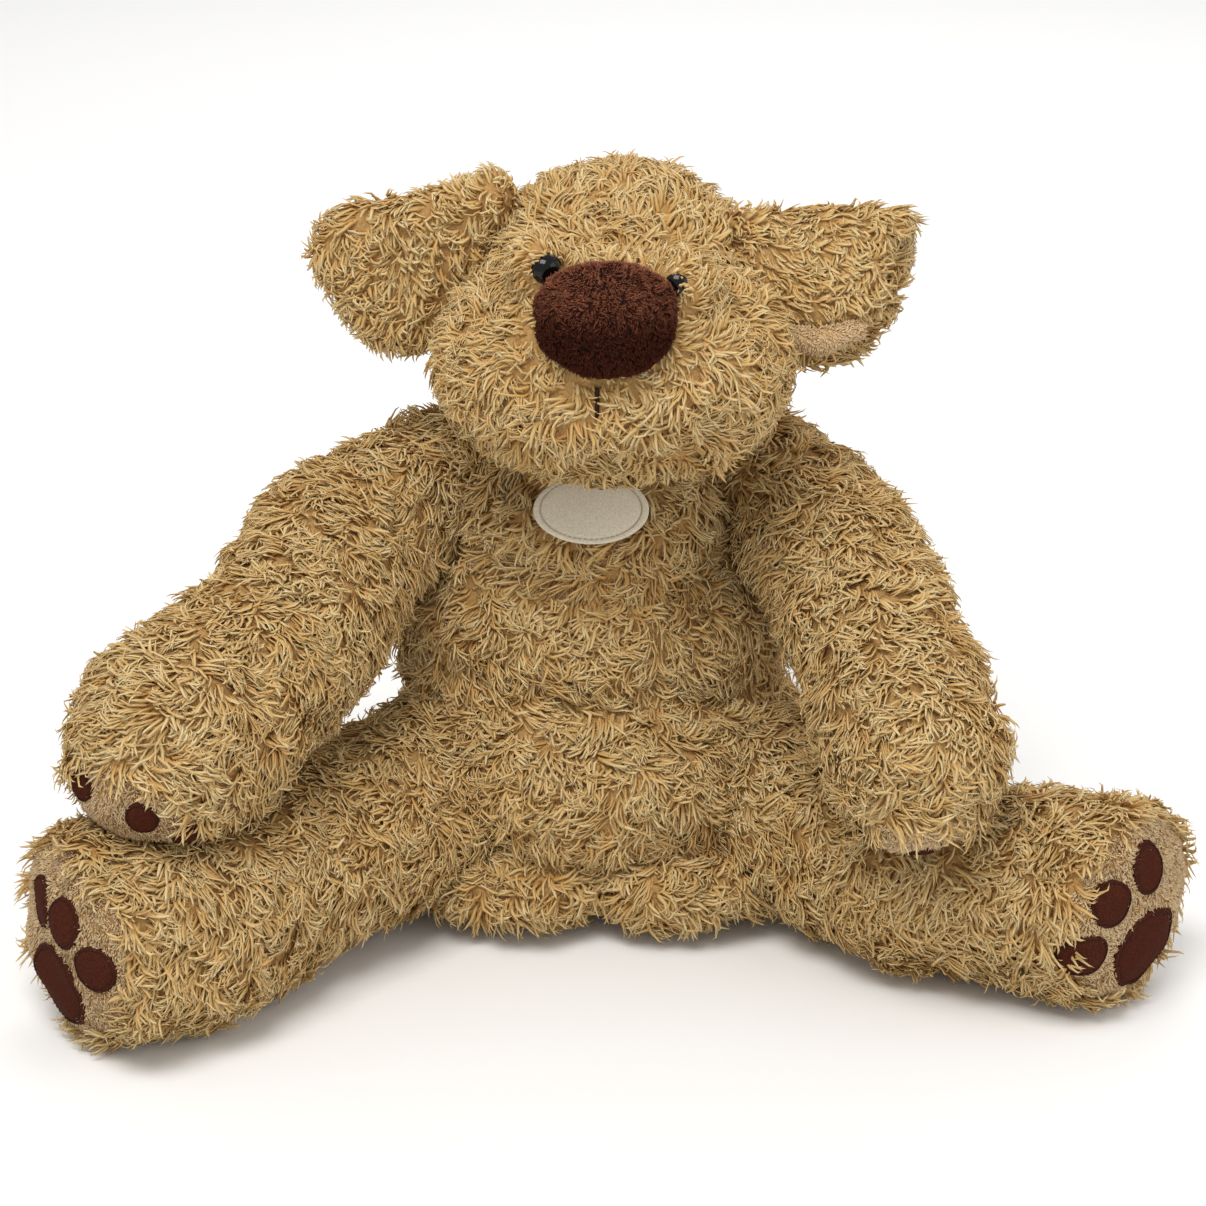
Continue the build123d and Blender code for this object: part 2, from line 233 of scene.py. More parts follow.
def lumpy(piece, seed, amount=1.2, wavelength=34):
    """The unevenness of hand-packed fibre: broad lumps with smaller ones on them, and a little growth."""
    p = points_of(piece)
    growth = 1.3
    broad = field(seed, wavelength)(p) * amount
    small = field(seed + 1, wavelength * 0.45)(p) * amount * 0.4
    bumps = growth + broad + small
    reshape(piece, p + normals_of(piece) * bumps[:, None])


def to_line(p, a, b):
    """Distance from a line, place along it from 0 to 1, and the direction away from it."""
    a, b = np.array(a, float), np.array(b, float)
    t = np.clip(((p - a) @ (b - a)) / ((b - a) @ (b - a)), 0, 1)
    away = p - (a + t[:, None] * (b - a))
    return np.linalg.norm(away, axis=1), t, unit(away)


def press_flat(piece, lowest):
    """Flattens the piece where it rests on the floor. What was below that level ends just above it."""
    p = points_of(piece)
    under = lowest - p[:, 2]
    folded = 0.04
    p[:, 2] = np.where(under > 0, lowest + folded * under, p[:, 2])
    reshape(piece, p)


def stay_off(piece, chain, gap):
    """Pushes the piece's surface out of a chain of balls, as soft cloth gives way."""
    p = points_of(piece)
    for a, b in zip(chain, chain[1:]):
        distance, t, away = to_line(p, a[:3], b[:3])
        short = a[3] + (b[3] - a[3]) * t + gap - distance
        p = p + away * np.maximum(short, 0)[:, None]
    reshape(piece, p)


def swung(point, pivot, degrees):
    """A point turned about an upright axis."""
    c, s = math.cos(math.radians(degrees)), math.sin(math.radians(degrees))
    x, y = point[0] - pivot[0], point[1] - pivot[1]
    return pivot[0] + c * x - s * y, pivot[1] + s * x + c * y, point[2]


# ---------------------------------------------------------------- pile
# the stations of a strand, as shares of its length, and its relative width at each station but the tip
LONG = (np.array([0.0, 0.27, 0.56, 0.84, 1.0]), np.array([0.8, 1.05, 0.92, 0.58]))
SHORT = (np.array([0.0, 0.5, 1.0]), np.array([1.0, 0.8]))


def surface_samples(piece, cell, seed):
    """Evenly scattered points on a mesh with their smooth normals: one for each cell it crosses."""
    mesh = piece.data
    mesh.calc_loop_triangles()
    tri = np.empty(len(mesh.loop_triangles) * 3, np.int64)
    mesh.loop_triangles.foreach_get("vertices", tri)
    tri = tri.reshape(-1, 3)
    p, n = points_of(piece), normals_of(piece)
    a, b, c = p[tri[:, 0]], p[tri[:, 1]], p[tri[:, 2]]
    area = np.linalg.norm(np.cross(b - a, c - a), axis=1) / 2
    rng = np.random.default_rng(seed)
    tries = 7            # for each cell
    total = int(area.sum() / cell ** 2 * tries)
    pick = rng.choice(len(tri), total, p=area / area.sum())
    u, v = rng.random(total), rng.random(total)
    over = u + v > 1
    u[over], v[over] = 1 - u[over], 1 - v[over]
    w = 1 - u - v
    at = a[pick] * w[:, None] + b[pick] * u[:, None] + c[pick] * v[:, None]
    t = tri[pick]
    normal = unit(n[t[:, 0]] * w[:, None] + n[t[:, 1]] * u[:, None] + n[t[:, 2]] * v[:, None])
    key = np.bitwise_xor.reduce(np.floor(at / cell).astype(np.int64) * CELL_HASH, axis=1)
    first = np.unique(key, return_index=True)[1]
    return at[first], normal[first]


def locks(at, normal, comb, length, width, seed, lean=(50, 90), curl=0.95, clump=6, gather=0.40, rise=7,
          swirl=0.85, wave=0.9, shape=LONG):
    """Centre lines of locks of pile: arrays (lock, step, xyz), with the frames round them.

    lean: degrees from the normal at the root and at the tip, and rise is how much the tips' lean varies
    curl: how far a lock bends sideways; wave: how much it ripples; swirl: how far the comb wanders
    clump: the size of the cells whose locks lean alike; gather: how far their tips draw together
    """
    steps = shape[0]
    rng = np.random.default_rng(seed)
    count = len(at)
    comb = comb - normal * (comb * normal).sum(1)[:, None]
    comb = unit(comb + rng.normal(size=(count, 3)) * 1e-3)
    side = np.cross(normal, comb)

    wander = np.stack([field(seed + k, clump * 2)(at) for k in (1, 2, 3)], 1)
    key = (np.floor(at / clump + 0.35 * wander) @ CELL_HASH).astype(np.int64)
    _, group, sizes = np.unique(key, return_inverse=True, return_counts=True)
    centre = np.stack([np.bincount(group, at[:, k]) / sizes for k in range(3)], 1)[group]
    g = rng.normal(size=(len(sizes), 5))[group]

    drift = (field(seed + 11, 46)(at) * 0.8 + field(seed + 12, 17)(at) * 0.45) * swirl
    turn = drift + g[:, 0] * 0.42 * swirl + rng.normal(size=count) * 0.12
    low = np.radians(lean[0] + g[:, 1] * 8 + rng.normal(size=count) * 6)
    high = np.radians(lean[1] + g[:, 2] * rise + rng.normal(size=count) * rise * 0.8)
    bend = (g[:, 3] + rng.normal(size=count) * 0.35) * curl
    length = length * (1 + 0.10 * g[:, 1] + rng.uniform(-0.25, 0.25, count))
    phase = g[:, 4] * 2 + rng.normal(size=count) * 0.5

    line = np.empty((count, len(steps), 3))
    ahead = np.empty_like(line)
    rooted = min(0.8, float(np.mean(length)) * 0.1)      # how deep a root starts
    line[:, 0] = at - normal * rooted
    for k, s in enumerate(steps):
        a = low + (high - low) * s ** 0.7 + 0.35 * wave * np.sin(phase + 5.5 * s)
        psi = turn + bend * s * 1.6 + 0.5 * wave * np.cos(phase + 5.5 * s)
        flat = comb * np.cos(psi)[:, None] + side * np.sin(psi)[:, None]
        ahead[:, k] = normal * np.cos(a)[:, None] + flat * np.sin(a)[:, None]
    for k in range(1, len(steps)):
        step = (steps[k] - steps[k - 1]) * length
        line[:, k] = line[:, k - 1] + unit(ahead[:, k] + ahead[:, k - 1]) * step[:, None]
    pull = centre - at
    pull -= normal * (pull * normal).sum(1)[:, None]
    line += pull[:, None, :] * (gather * steps ** 1.3)[None, :, None]
    line[:, :, 2] = np.maximum(line[:, :, 2], FLOOR_CLEAR + rng.uniform(0, 1.0, count)[:, None])
    across = unit(np.cross(ahead, normal[:, None, :]))
    width = width * rng.uniform(0.6, 1.4, count)
    tone = 0.5 + 0.13 * g[:, 2] + 0.2 * rng.normal(size=count) + 0.12 * field(seed + 13, 70)(at)
    return {"line": line, "ahead": ahead, "across": across, "width": width, "tone": np.clip(tone, 0, 1)}


def part_of(tufts, chosen):
    return {k: v[chosen] for k, v in tufts.items()}


def lock_mesh(name, tufts, material, thin=0.7, shape=LONG):
    """One closed, tapering, three-sided strand for each lock, with its own patch of the UV map."""
    line, ahead, across = tufts["line"], tufts["ahead"], tufts["across"]
    count, steps = line.shape[:2]
    rings = steps - 1
    per_lock = rings * 3 + 1
    up = np.cross(across, ahead)
    around = np.arange(3) * 2 * math.pi / 3 + 0.5
    half = tufts["width"][:, None] / 2 * shape[1][None]
    verts = np.empty((count, per_lock, 3), np.float32)
    for j, angle in enumerate(around):
        out = across[:, :rings] * math.cos(angle) + up[:, :rings] * (thin * math.sin(angle))
        verts[:, j:rings * 3:3] = line[:, :rings] + out * half[:, :, None]
    verts[:, -1] = line[:, -1]
    verts[:, :, 2] = np.maximum(verts[:, :, 2], FLOOR_CLEAR * 0.5)

    quads = []
    for k in range(rings - 1):
        for j in range(3):
            m = (j + 1) % 3
            quads.append([k * 3 + j, k * 3 + m, (k + 1) * 3 + m, (k + 1) * 3 + j])
    last = (rings - 1) * 3
    tris = [[last + j, last + (j + 1) % 3, per_lock - 1] for j in range(3)] + [[2, 1, 0]]
    base = (np.arange(count) * per_lock)[:, None]
    quad_loops = (base[:, :, None] + np.array(quads)[None]).reshape(count, -1)
    tri_loops = (base[:, :, None] + np.array(tris)[None]).reshape(count, -1)
    loops = np.concatenate([quad_loops, tri_loops], 1).ravel()
    sizes = np.tile([4] * len(quads) + [3] * len(tris), count)
    starts = np.concatenate([[0], np.cumsum(sizes)[:-1]])

    mesh = bpy.data.meshes.new(name)
    mesh.vertices.add(count * per_lock)
    mesh.vertices.foreach_set("co", (verts * MM).ravel())
    mesh.loops.add(len(loops))
    mesh.loops.foreach_set("vertex_index", loops.astype(np.int32))
    mesh.polygons.add(len(sizes))
    mesh.polygons.foreach_set("loop_start", starts.astype(np.int32))
    mesh.polygons.foreach_set("use_smooth", np.ones(len(sizes), bool))

    along = np.concatenate([np.repeat(shape[0][:rings], 3), [1.0]])
    mesh.attributes.new("along", "FLOAT", "POINT").data.foreach_set(
        "value", np.tile(along, count).astype(np.float32))
    streak = np.random.default_rng(count).normal(size=(count, 3)) * 0.2
    streak = np.concatenate([np.tile(streak, rings), streak[:, :1]], 1)
    mesh.attributes.new("tone", "FLOAT", "POINT").data.foreach_set(
        "value", np.clip(tufts["tone"][:, None] + streak, 0, 1).astype(np.float32).ravel())
    grid = math.ceil(math.sqrt(count))
    sway = np.concatenate([np.tile([0.2, 0.5, 0.8], rings), [0.5]])
    u = ((np.arange(count) % grid)[:, None] + sway[None]) / grid
    v = ((np.arange(count) // grid)[:, None] + 0.12 + 0.76 * along[None]) / grid
    uv = np.stack([u, v], -1).reshape(-1, 2)[loops]
    mesh.uv_layers.new(name="OFBake").data.foreach_set("uv", uv.astype(np.float32).ravel())
    mesh.update(calc_edges=True)
    mesh.materials.append(material)
    piece = bpy.data.objects.new(name, mesh)
    scene.collection.objects.link(piece)
    return piece


# ---------------------------------------------------------------- materials
def srgb(r, g, b):
    """A colour from its usual 0 to 255 values."""
    def linear(c):
        c /= 255
        return c / 12.92 if c <= 0.04045 else ((c + 0.055) / 1.055) ** 2.4
    return (linear(r), linear(g), linear(b), 1)


def ramp(tree, stops, factor):
    node = tree.nodes.new("ShaderNodeValToRGB")
    elements = node.color_ramp.elements
    while len(elements) < len(stops):
        elements.new(0.5)
    for element, (place, colour) in zip(elements, stops):
        element.position = place
        element.color = colour
    tree.links.new(factor, node.inputs[0])
    return node.outputs[0]


def attribute(tree, name):
    node = tree.nodes.new("ShaderNodeAttribute")
    node.attribute_name = name
    return node.outputs["Fac"]


def mixed(tree, factor, a, b):
    node = tree.nodes.new("ShaderNodeMix")
    node.data_type = "RGBA"
    sockets = [s for s in node.inputs if s.enabled]
    for socket, value in zip(sockets, (factor, a, b)):
        if isinstance(value, bpy.types.NodeSocket):
            tree.links.new(value, socket)
        else:
            socket.default_value = value
    return [s for s in node.outputs if s.enabled][0]


def noise_of(tree, scale, detail=3.0):
    coordinates = tree.nodes.new("ShaderNodeTexCoord")
    node = tree.nodes.new("ShaderNodeTexNoise")
    node.inputs["Scale"].default_value = scale
    node.inputs["Detail"].default_value = detail
    tree.links.new(coordinates.outputs["Object"], node.inputs["Vector"])
    return node.outputs["Fac"]


def bumped(tree, shader, height, strength, distance):
    node = tree.nodes.new("ShaderNodeBump")
    node.inputs["Strength"].default_value = strength
    node.inputs["Distance"].default_value = distance
    tree.links.new(height, node.inputs["Height"])
    tree.links.new(node.outputs[0], shader.inputs["Normal"])


def pile_material(name, root, middle, tip, pale, roughness=0.78, shine=0.25):
    """Strands that are darker at the root and paler at the tip, and some strands paler than others. The
    darker roots are partly the pile's own colour and partly painted shade deep in the pile; the paler tips
    are partly painted highlight.
    """
    material = bpy.data.materials.new(name)
    tree, shader = nodes_of(material)
    along = attribute(tree, "along")
    dark = ramp(tree, [(0.0, root), (0.42, middle), (1.0, tip)], along)
    light = ramp(tree, [(0.0, middle), (0.5, tip), (1.0, pale)], along)
    share = ramp(tree, [(0.25, (0, 0, 0, 1)), (0.85, (1, 1, 1, 1))], attribute(tree, "tone"))
    colour = mixed(tree, share, dark, light)
    tree.links.new(colour, shader.inputs["Base Color"])
    shader.inputs["Roughness"].default_value = roughness
    shader.inputs["Specular IOR Level"].default_value = shine
    return material


# pile colours from root to tip: the darker roots are partly painted shade between the locks, and the pale
# tips are partly painted highlight
fur = pile_material(
    "long_pile", srgb(184, 130, 68), srgb(194, 154, 92), srgb(206, 176, 121), srgb(224, 206, 160))
short_pile = pile_material(
    "short_pile", srgb(198, 166, 122), srgb(208, 178, 134), srgb(218, 190, 148), srgb(226, 202, 164))
nose_pile = pile_material(
    "nose_plush", srgb(24, 9, 6), srgb(48, 20, 13), srgb(96, 50, 34), srgb(186, 122, 92),
    roughness=0.9, shine=0.06)


def cloth_material(name, dark, light, scale, roughness=0.95, strength=0.4, distance=0.0006, shine=0.2):
    """Cloth mottled by a fine noise, which also makes its grain."""
    material = bpy.data.materials.new(name)
    tree, shader = nodes_of(material)
    fine = noise_of(tree, scale, 4)
    tree.links.new(ramp(tree, [(0.3, dark), (0.7, light)], fine), shader.inputs["Base Color"])
    shader.inputs["Roughness"].default_value = roughness
    shader.inputs["Specular IOR Level"].default_value = shine
    bumped(tree, shader, noise_of(tree, scale * 1.7, 3), strength, distance)
    return material


backing = cloth_material("pile_backing", srgb(154, 116, 68), srgb(180, 144, 92), 900)
sole_backing = cloth_material("sole_backing", srgb(186, 152, 108), srgb(208, 176, 132), 900)
nose_backing = cloth_material("nose_backing", srgb(24, 11, 8), srgb(56, 27, 19), 900)
suede = cloth_material(
    "pad_suede", srgb(54, 24, 16), srgb(78, 39, 27), 1500, strength=0.3, distance=0.0003, shine=0.04)
dark_thread = cloth_material("dark_thread", srgb(30, 17, 11), srgb(58, 36, 25), 3000)
felt = cloth_material(
    "tag_felt", srgb(206, 194, 170), srgb(232, 224, 204), 1800, strength=0.35, distance=0.0003)
tag_thread = cloth_material("tag_thread", srgb(176, 162, 136), srgb(204, 191, 166), 3000)

eye_material = bpy.data.materials.new("eye_gloss")
eye_tree, eye_shader = nodes_of(eye_material)
eye_tree.links.new(
    ramp(eye_tree, [(0.3, srgb(6, 5, 4)), (0.8, srgb(13, 9, 8))], noise_of(eye_tree, 300)),
    eye_shader.inputs["Base Color"])
eye_shader.inputs["Roughness"].default_value = 0.14
eye_shader.inputs["Specular IOR Level"].default_value = 0.3


def dress(piece, material):
    piece.data.materials.clear()
    piece.data.materials.append(material)


def dress_node(name, material):
    dress(frame["nodes"][name], material)


for side in ("left", "right"):
    dress_node(f"{side}_eye_button", eye_material)
    button = frame["nodes"][f"{side}_eye_button"].data
    button.polygons.foreach_set("use_smooth", [True] * len(button.polygons))
dress_node("mouth_stitch", dark_thread)


# ---------------------------------------------------------------- the forms
def frame_round(along):
    """Two directions across another: level to its right, and upwards."""
    along = unit(np.array(along, float))
    right = unit(np.cross(along, (0, 0, 1)))
    return along, right, np.cross(right, along)


def lens(centre, along, radius, height):
    """A ball flattened along a direction."""
    along, right, up = frame_round(along)
    return np.array(centre) + radius * (BALL_DOTS[:, :1] * right + BALL_DOTS[:, 1:2] * up) \
        + height * BALL_DOTS[:, 2:] * along


def ring_of_balls(centre, along, radius, ball):
    """Twelve balls round a rim, which faces along."""
    _, right, up = frame_round(along)
    angles = [2 * math.pi * k / 12 for k in range(12)]
    spots = [np.array(centre) + (right * math.cos(a) + up * math.sin(a)) * (radius - ball) for a in angles]
    return [(*spot, ball) for spot in spots]


# the flat end of each foot: its middle, where it faces, the radius of its rim, and how far it bulges
FEET = {
    "left_leg": {"centre": (-175, -147, 39.5), "along": (-0.83, -0.56, 0.02), "rim": 36, "bulge": 14},
    "right_leg": {"centre": (179, -121, 38), "along": (0.75, -0.66, 0.03), "rim": 34.5, "bulge": 13},
}
# the limbs as chains of balls, from the seam at the body to the ankle or the paw
LEGS = {
    "left_leg": [(-50, -30, 41, 34), (-112, -97, 37, 30), (-147, -134, 36, 34)],
    "right_leg": [(50, -30, 38, 33), (108, -93, 35, 31), (152, -109, 36, 32)],
}
ARMS = {
    "left_arm": [(-58, 4, 147, 22), (-93, -27, 135, 28), (-113, -75, 116, 30), (-147, -122, 101, 33)],
    "right_arm": [(58, 4, 147, 22), (83, -28, 133, 27), (97, -76, 116, 26), (107, -120, 94, 29)],
}
# each paw's ball, where its sole faces and how wide it spreads (a cosine), and where its pads face
PAWS = {
    "left_arm": {"centre": (-148, -122, 101), "radius": 36, "sole": (-0.43, -0.70, -0.57), "spread": 0.715,
                 "toes": [(-0.74, -0.66, -0.10), (-0.17, -0.93, -0.32), (0.22, -0.76, -0.61)],
                 "main": (-0.36, -0.30, -0.88)},
    "right_arm": {"centre": (107, -120, 94), "radius": 32, "sole": (0.06, -0.45, -0.89), "spread": 0.72,
                  "toes": [(-0.50, -0.42, -0.75), (0.06, -0.58, -0.81), (0.60, -0.40, -0.69)],
                  "main": (0.06, 0.0, -1.0)},
}

torso = stuffed("torso_form", [
    egg((-4, -2, 92), (70, 60, 60)),
    egg((-2, -4, 24), (62, 56, 23)),
    egg((-2, -16, 50), (76, 70, 42)),
    egg((-30, -29, 19), (52, 62, 18)),
    egg((26, -29, 19), (52, 62, 18)),
    hull((-2, 2, 122, 55), (-2, 4, 146, 44)),
    egg((-3, -8, 144), (50, 45, 19)),
])
head = stuffed("head_form", [
    egg((5, -8, 221), (51, 48, 45)),
    egg((3.7, -51, 213), (60.5, 47, 38)),
    hull((-21.1, -71.0, 253.3, 9.6), (-16, -50, 232, 14)),
    hull((26.2, -78.0, 250.8, 9.8), (20, -50, 230, 14)),
])
neck = stuffed("neck_form", [hull((-1, 4, 152, 36), (2, 0, 184, 36))])
left_ear = stuffed("left_ear_form", [
    hull((-38, -12, 260, 8), (-46, -14, 259, 8), (-50, -14, 214, 7), (-66, -17, 254, 8), (-66, -20, 216, 8)),
    hull((-62, -17, 254, 8), (-84, -17, 254, 6), (-94, -18, 249, 5.5), (-97, -18, 241, 5.5),
         (-88, -20, 226, 6), (-77, -22, 214, 6), (-64, -20, 214, 7)),
], voxel=2.5, smoothing=8)
right_ear = stuffed("right_ear_form", [
    hull((50, -10, 247, 6), (60, -8, 207, 5), (104, -10, 249, 5), (106, -8, 237, 5), (96, -8, 214, 5),
         (82, -8, 201, 5), (68, -8, 202, 5)),
    hull((48, -12, 246, 8), (90, -17, 249, 7), (102, -17, 252, 5), (94, -15, 246, 6)),
    hull((52, -18, 238, 8), (62, -28, 224, 6), (90, -20, 246, 7), (94, -30, 235, 5), (86, -33, 223, 5),
         (70, -32, 222, 5)),
], voxel=2.2, smoothing=4)
ear_lip = stuffed("right_ear_lip_form", [
    hull((56, -38, 221, 3), (64, -42, 218.5, 4)), hull((64, -42, 218.5, 4), (76, -43, 217, 4.4)),
    hull((76, -43, 217, 4.4), (89, -40, 220.5, 3)),
], voxel=1.4, smoothing=3)
arms = {
    body: stuffed(f"{body}_form", [hull(a, b) for a, b in zip(chain, chain[1:])])
    for body, chain in ARMS.items()
}
legs = {}
for body, chain in LEGS.items():
    foot = FEET[body]
    rim = ring_of_balls(foot["centre"], foot["along"], foot["rim"], 9)
    legs[body] = stuffed(f"{body}_form", [
        hull(*chain[:2]), hull(*chain[1:]), hull(chain[2], *rim),
        lens(foot["centre"], foot["along"], foot["rim"] - 1, foot["bulge"])])
tail = stuffed("tail_form", [hull((0, 50, 38, 9), (0, 83, 57, 8))], voxel=2.5, smoothing=3)

# the soles of the paws stand a little proud
SOLE_RISE = 3.5
for body, arm in arms.items():
    paw = PAWS[body]
    p = points_of(arm)
    away = unit(p - np.array(paw["centre"]))
    swell = np.clip((away @ unit(np.array(paw["sole"])) - paw["spread"] + 0.12) / 0.2, 0, 1)
    reshape(arm, p + away * (SOLE_RISE * swell * swell * (3 - 2 * swell))[:, None])
for index, form in enumerate((torso, head, *arms.values(), *legs.values())):
    lumpy(form, 40 + 3 * index)
# the arms keep clear of the legs and their pile, over the legs' whole swing
LEG_SWING = 11           # degrees each way
LEG_PILE = 7
for side in ("left", "right"):
    leg = LEGS[f"{side}_leg"]
    for swing in (-LEG_SWING, 0, LEG_SWING):
        stay_off(arms[f"{side}_arm"], [(*swung(b[:3], leg[0], swing), b[3] + LEG_PILE) for b in leg], 3)
for form in (torso, *legs.values()):
    press_flat(form, 3.0)

# folds that the weight of the head presses into the front of the belly
FOLD_WIDTH = 7.5
p = points_of(torso)
front = np.clip(-p[:, 1] / 30, 0, 1)
waver = field(60, 60)(p) * 4
for height, depth, tilt in ((123, 4.5, 0.06), (88, 3.2, -0.06)):
    p[:, 1] += front * depth * np.exp(-((p[:, 2] - height - tilt * p[:, 0] - waver) / FOLD_WIDTH) ** 2)
reshape(torso, p)

forms = {
    "torso": torso, "neck": neck, "head": head, "left_ear": left_ear, "right_ear": right_ear,
    **arms, **legs, "tail": tail,
}
for form in forms.values():
    dress(form, backing)

# ---------------------------------------------------------------- where the pile is long, short or missing
NOSE_AT = np.array([1.0, -93.0, 243.0])
EYES = [np.array([-19.6, -75.8, 254.3]), np.array([25.1, -80.7, 251.0])]
EYES_BARE = (5.4, 4.2)               # the bare patch round each eye
MOUTH = {"x": -2, "z": 214, "half_width": 2.2, "half_height": 6, "in_front_of": -60}
TAG_AT = np.array([-4.2, -51.0, 156.8])
TAG_TILT = math.radians(57)          # up from lying flat
TAG_HALF = (20.5, 12.5)


def down_and(direction, amount):
    """A comb downwards, turned towards another comb."""
    return lambda p, n: np.array([0, 0, -1.0]) + amount * direction(p, n)


def away_from(point):
    return lambda p, n: unit(p - np.array(point, float))


def straight(*v):
    return lambda p, n: np.tile(unit(np.array(v, float)), (len(p), 1))


def head_comb(p, n):
    """Outwards from the nose, then back and down over the crown and the cheeks."""
    return unit(p - NOSE_AT) + np.array([0, 0.35, -0.55])


COMBS = {
    "torso": down_and(away_from((0, 0, 120)), 0.5),
    "neck": down_and(away_from((0, 0, 160)), 0.3),
    "head": head_comb,
    "left_ear": straight(-0.8, -0.1, -0.6),
    "right_ear": straight(0.75, -0.1, -0.65),
    "left_arm": straight(-0.5, -0.5, -0.75),
    "right_arm": straight(0.35, -0.5, -0.8),
    "left_leg": straight(-0.5, -0.55, -0.65),
    "right_leg": straight(0.55, -0.5, -0.65),
    "tail": straight(0, 0.8, 0.1),
}


def short_here(body, p, n):
    """Where the cloth has the short pile of the soles and of the ears' linings."""
    if body in FEET:
        foot = FEET[body]
        along = unit(np.array(foot["along"]))
        return ((p - np.array(foot["centre"])) @ along > 1.0) & (n @ along > 0.5)
    if body in PAWS:
        paw = PAWS[body]
        return unit(p - np.array(paw["centre"])) @ unit(np.array(paw["sole"])) > paw["spread"]
    if body == "left_ear":
        return (n[:, 1] > 0.55) & (p[:, 0] < -60)
    if body == "right_ear":
        behind = (n[:, 1] > 0.55) & (p[:, 0] > 64)
        tip = (n[:, 0] > 0.3) & (p[:, 0] > 97) & (p[:, 2] > 226) & (p[:, 2] < 247)
        return behind | tip
    return np.zeros(len(p), bool)


def long_here(body, p, n):
    """Where the long pile grows: not on the eyes, under the nose or over the mouth."""
    grows = ~short_here(body, p, n)
    if body == "head":
        for eye, clear in zip(EYES, EYES_BARE):
            grows &= np.linalg.norm(p - eye, axis=1) > clear
        grows &= np.linalg.norm((p - NOSE_AT) / np.array([22, 22, 17]), axis=1) > 1
        beside = np.abs(p[:, 0] - MOUTH["x"]) > MOUTH["half_width"]
        above_or_below = np.abs(p[:, 2] - MOUTH["z"]) > MOUTH["half_height"]
        grows &= beside | (p[:, 1] > MOUTH["in_front_of"]) | above_or_below
    return grows


def pile_length(body, p):
    """The share of its body's full length that the pile has at each point."""
    scale = np.ones(len(p))
    if body == "head":
        near = np.min([np.linalg.norm(p - e, axis=1) for e in EYES], axis=0)
        scale *= np.clip(0.55 + (near - 6) / 18, 0.55, 1)
        nose = np.linalg.norm((p - NOSE_AT) / np.array([25, 20, 20]), axis=1)
        scale *= np.clip(0.5 + (nose - 1) * 0.9, 0.5, 1)
    if body == "right_ear":
        scale *= np.where((p[:, 1] < -20) & (p[:, 2] < 226), 0.5, 1)
    if body == "torso":
        upward = (p - TAG_AT) @ np.array([0, math.cos(TAG_TILT), math.sin(TAG_TILT)])
        under = ((p[:, 0] - TAG_AT[0]) / 19) ** 2 + (upward / 11) ** 2 < 1
        scale *= np.where(under & (p[:, 1] < -15), 0.4, 1)
    return scale


# ---------------------------------------------------------------- suede pads with their stitched rims
def solid_from(name, verts, faces, material):
    mesh = bpy.data.meshes.new(name)
    mesh.from_pydata([tuple(c * MM for c in v) for v in verts], [], faces)
    mesh.polygons.foreach_set("use_smooth", np.ones(len(mesh.polygons), bool))
    mesh.materials.append(material)
    piece = bpy.data.objects.new(name, mesh)
    scene.collection.objects.link(piece)
    return piece


def beads(spots, directions, length, girth):
    """Small rounded stitches, six-sided with three rings: vertices and faces."""
    verts, faces = [], []
    sides = 6
    for spot, (ahead, up) in zip(spots, directions):
        across = np.cross(ahead, up)
        start = len(verts)
        for place, size in ((-0.8, 0.75), (0.0, 1.0), (0.8, 0.75)):
            for k in range(sides):
                a = 2 * math.pi * k / sides
                verts.append(spot + ahead * place * length / 2
                             + (across * math.cos(a) + up * math.sin(a)) * size * girth / 2)
        verts += [spot - ahead * length / 2, spot + ahead * length / 2]
        back_end, front_end = start + 3 * sides, start + 3 * sides + 1
        last = start + 2 * sides
        for ring in (start, start + sides):
            for k in range(sides):
                m = (k + 1) % sides
                faces.append([ring + k, ring + m, ring + sides + m, ring + sides + k])
        for k in range(sides):
            m = (k + 1) % sides
            faces.append([back_end, start + m, start + k])
            faces.append([front_end, last + k, last + m])
    return verts, faces


def disc_faces(rings, segments):
    """Faces of a closed disc: a middle point, rings of points out and back under, and a last point."""
    faces = []
    for k in range(segments):
        m = (k + 1) % segments
        faces.append([0, 1 + k, 1 + m])
        for r in range(rings - 1):
            at = 1 + r * segments
            faces.append([at + k, at + segments + k, at + segments + m, at + m])
        at = 1 + (rings - 1) * segments
        faces.append([at + k, 1 + rings * segments, at + m])
    return faces


def surface_of(form):
    """A form's surface, for casting rays at it."""
    faces = [list(face.vertices) for face in form.data.polygons]
    return BVHTree.FromPolygons(points_of(form).tolist(), faces)


COVERED = []             # the middle and radius of what each pad covers


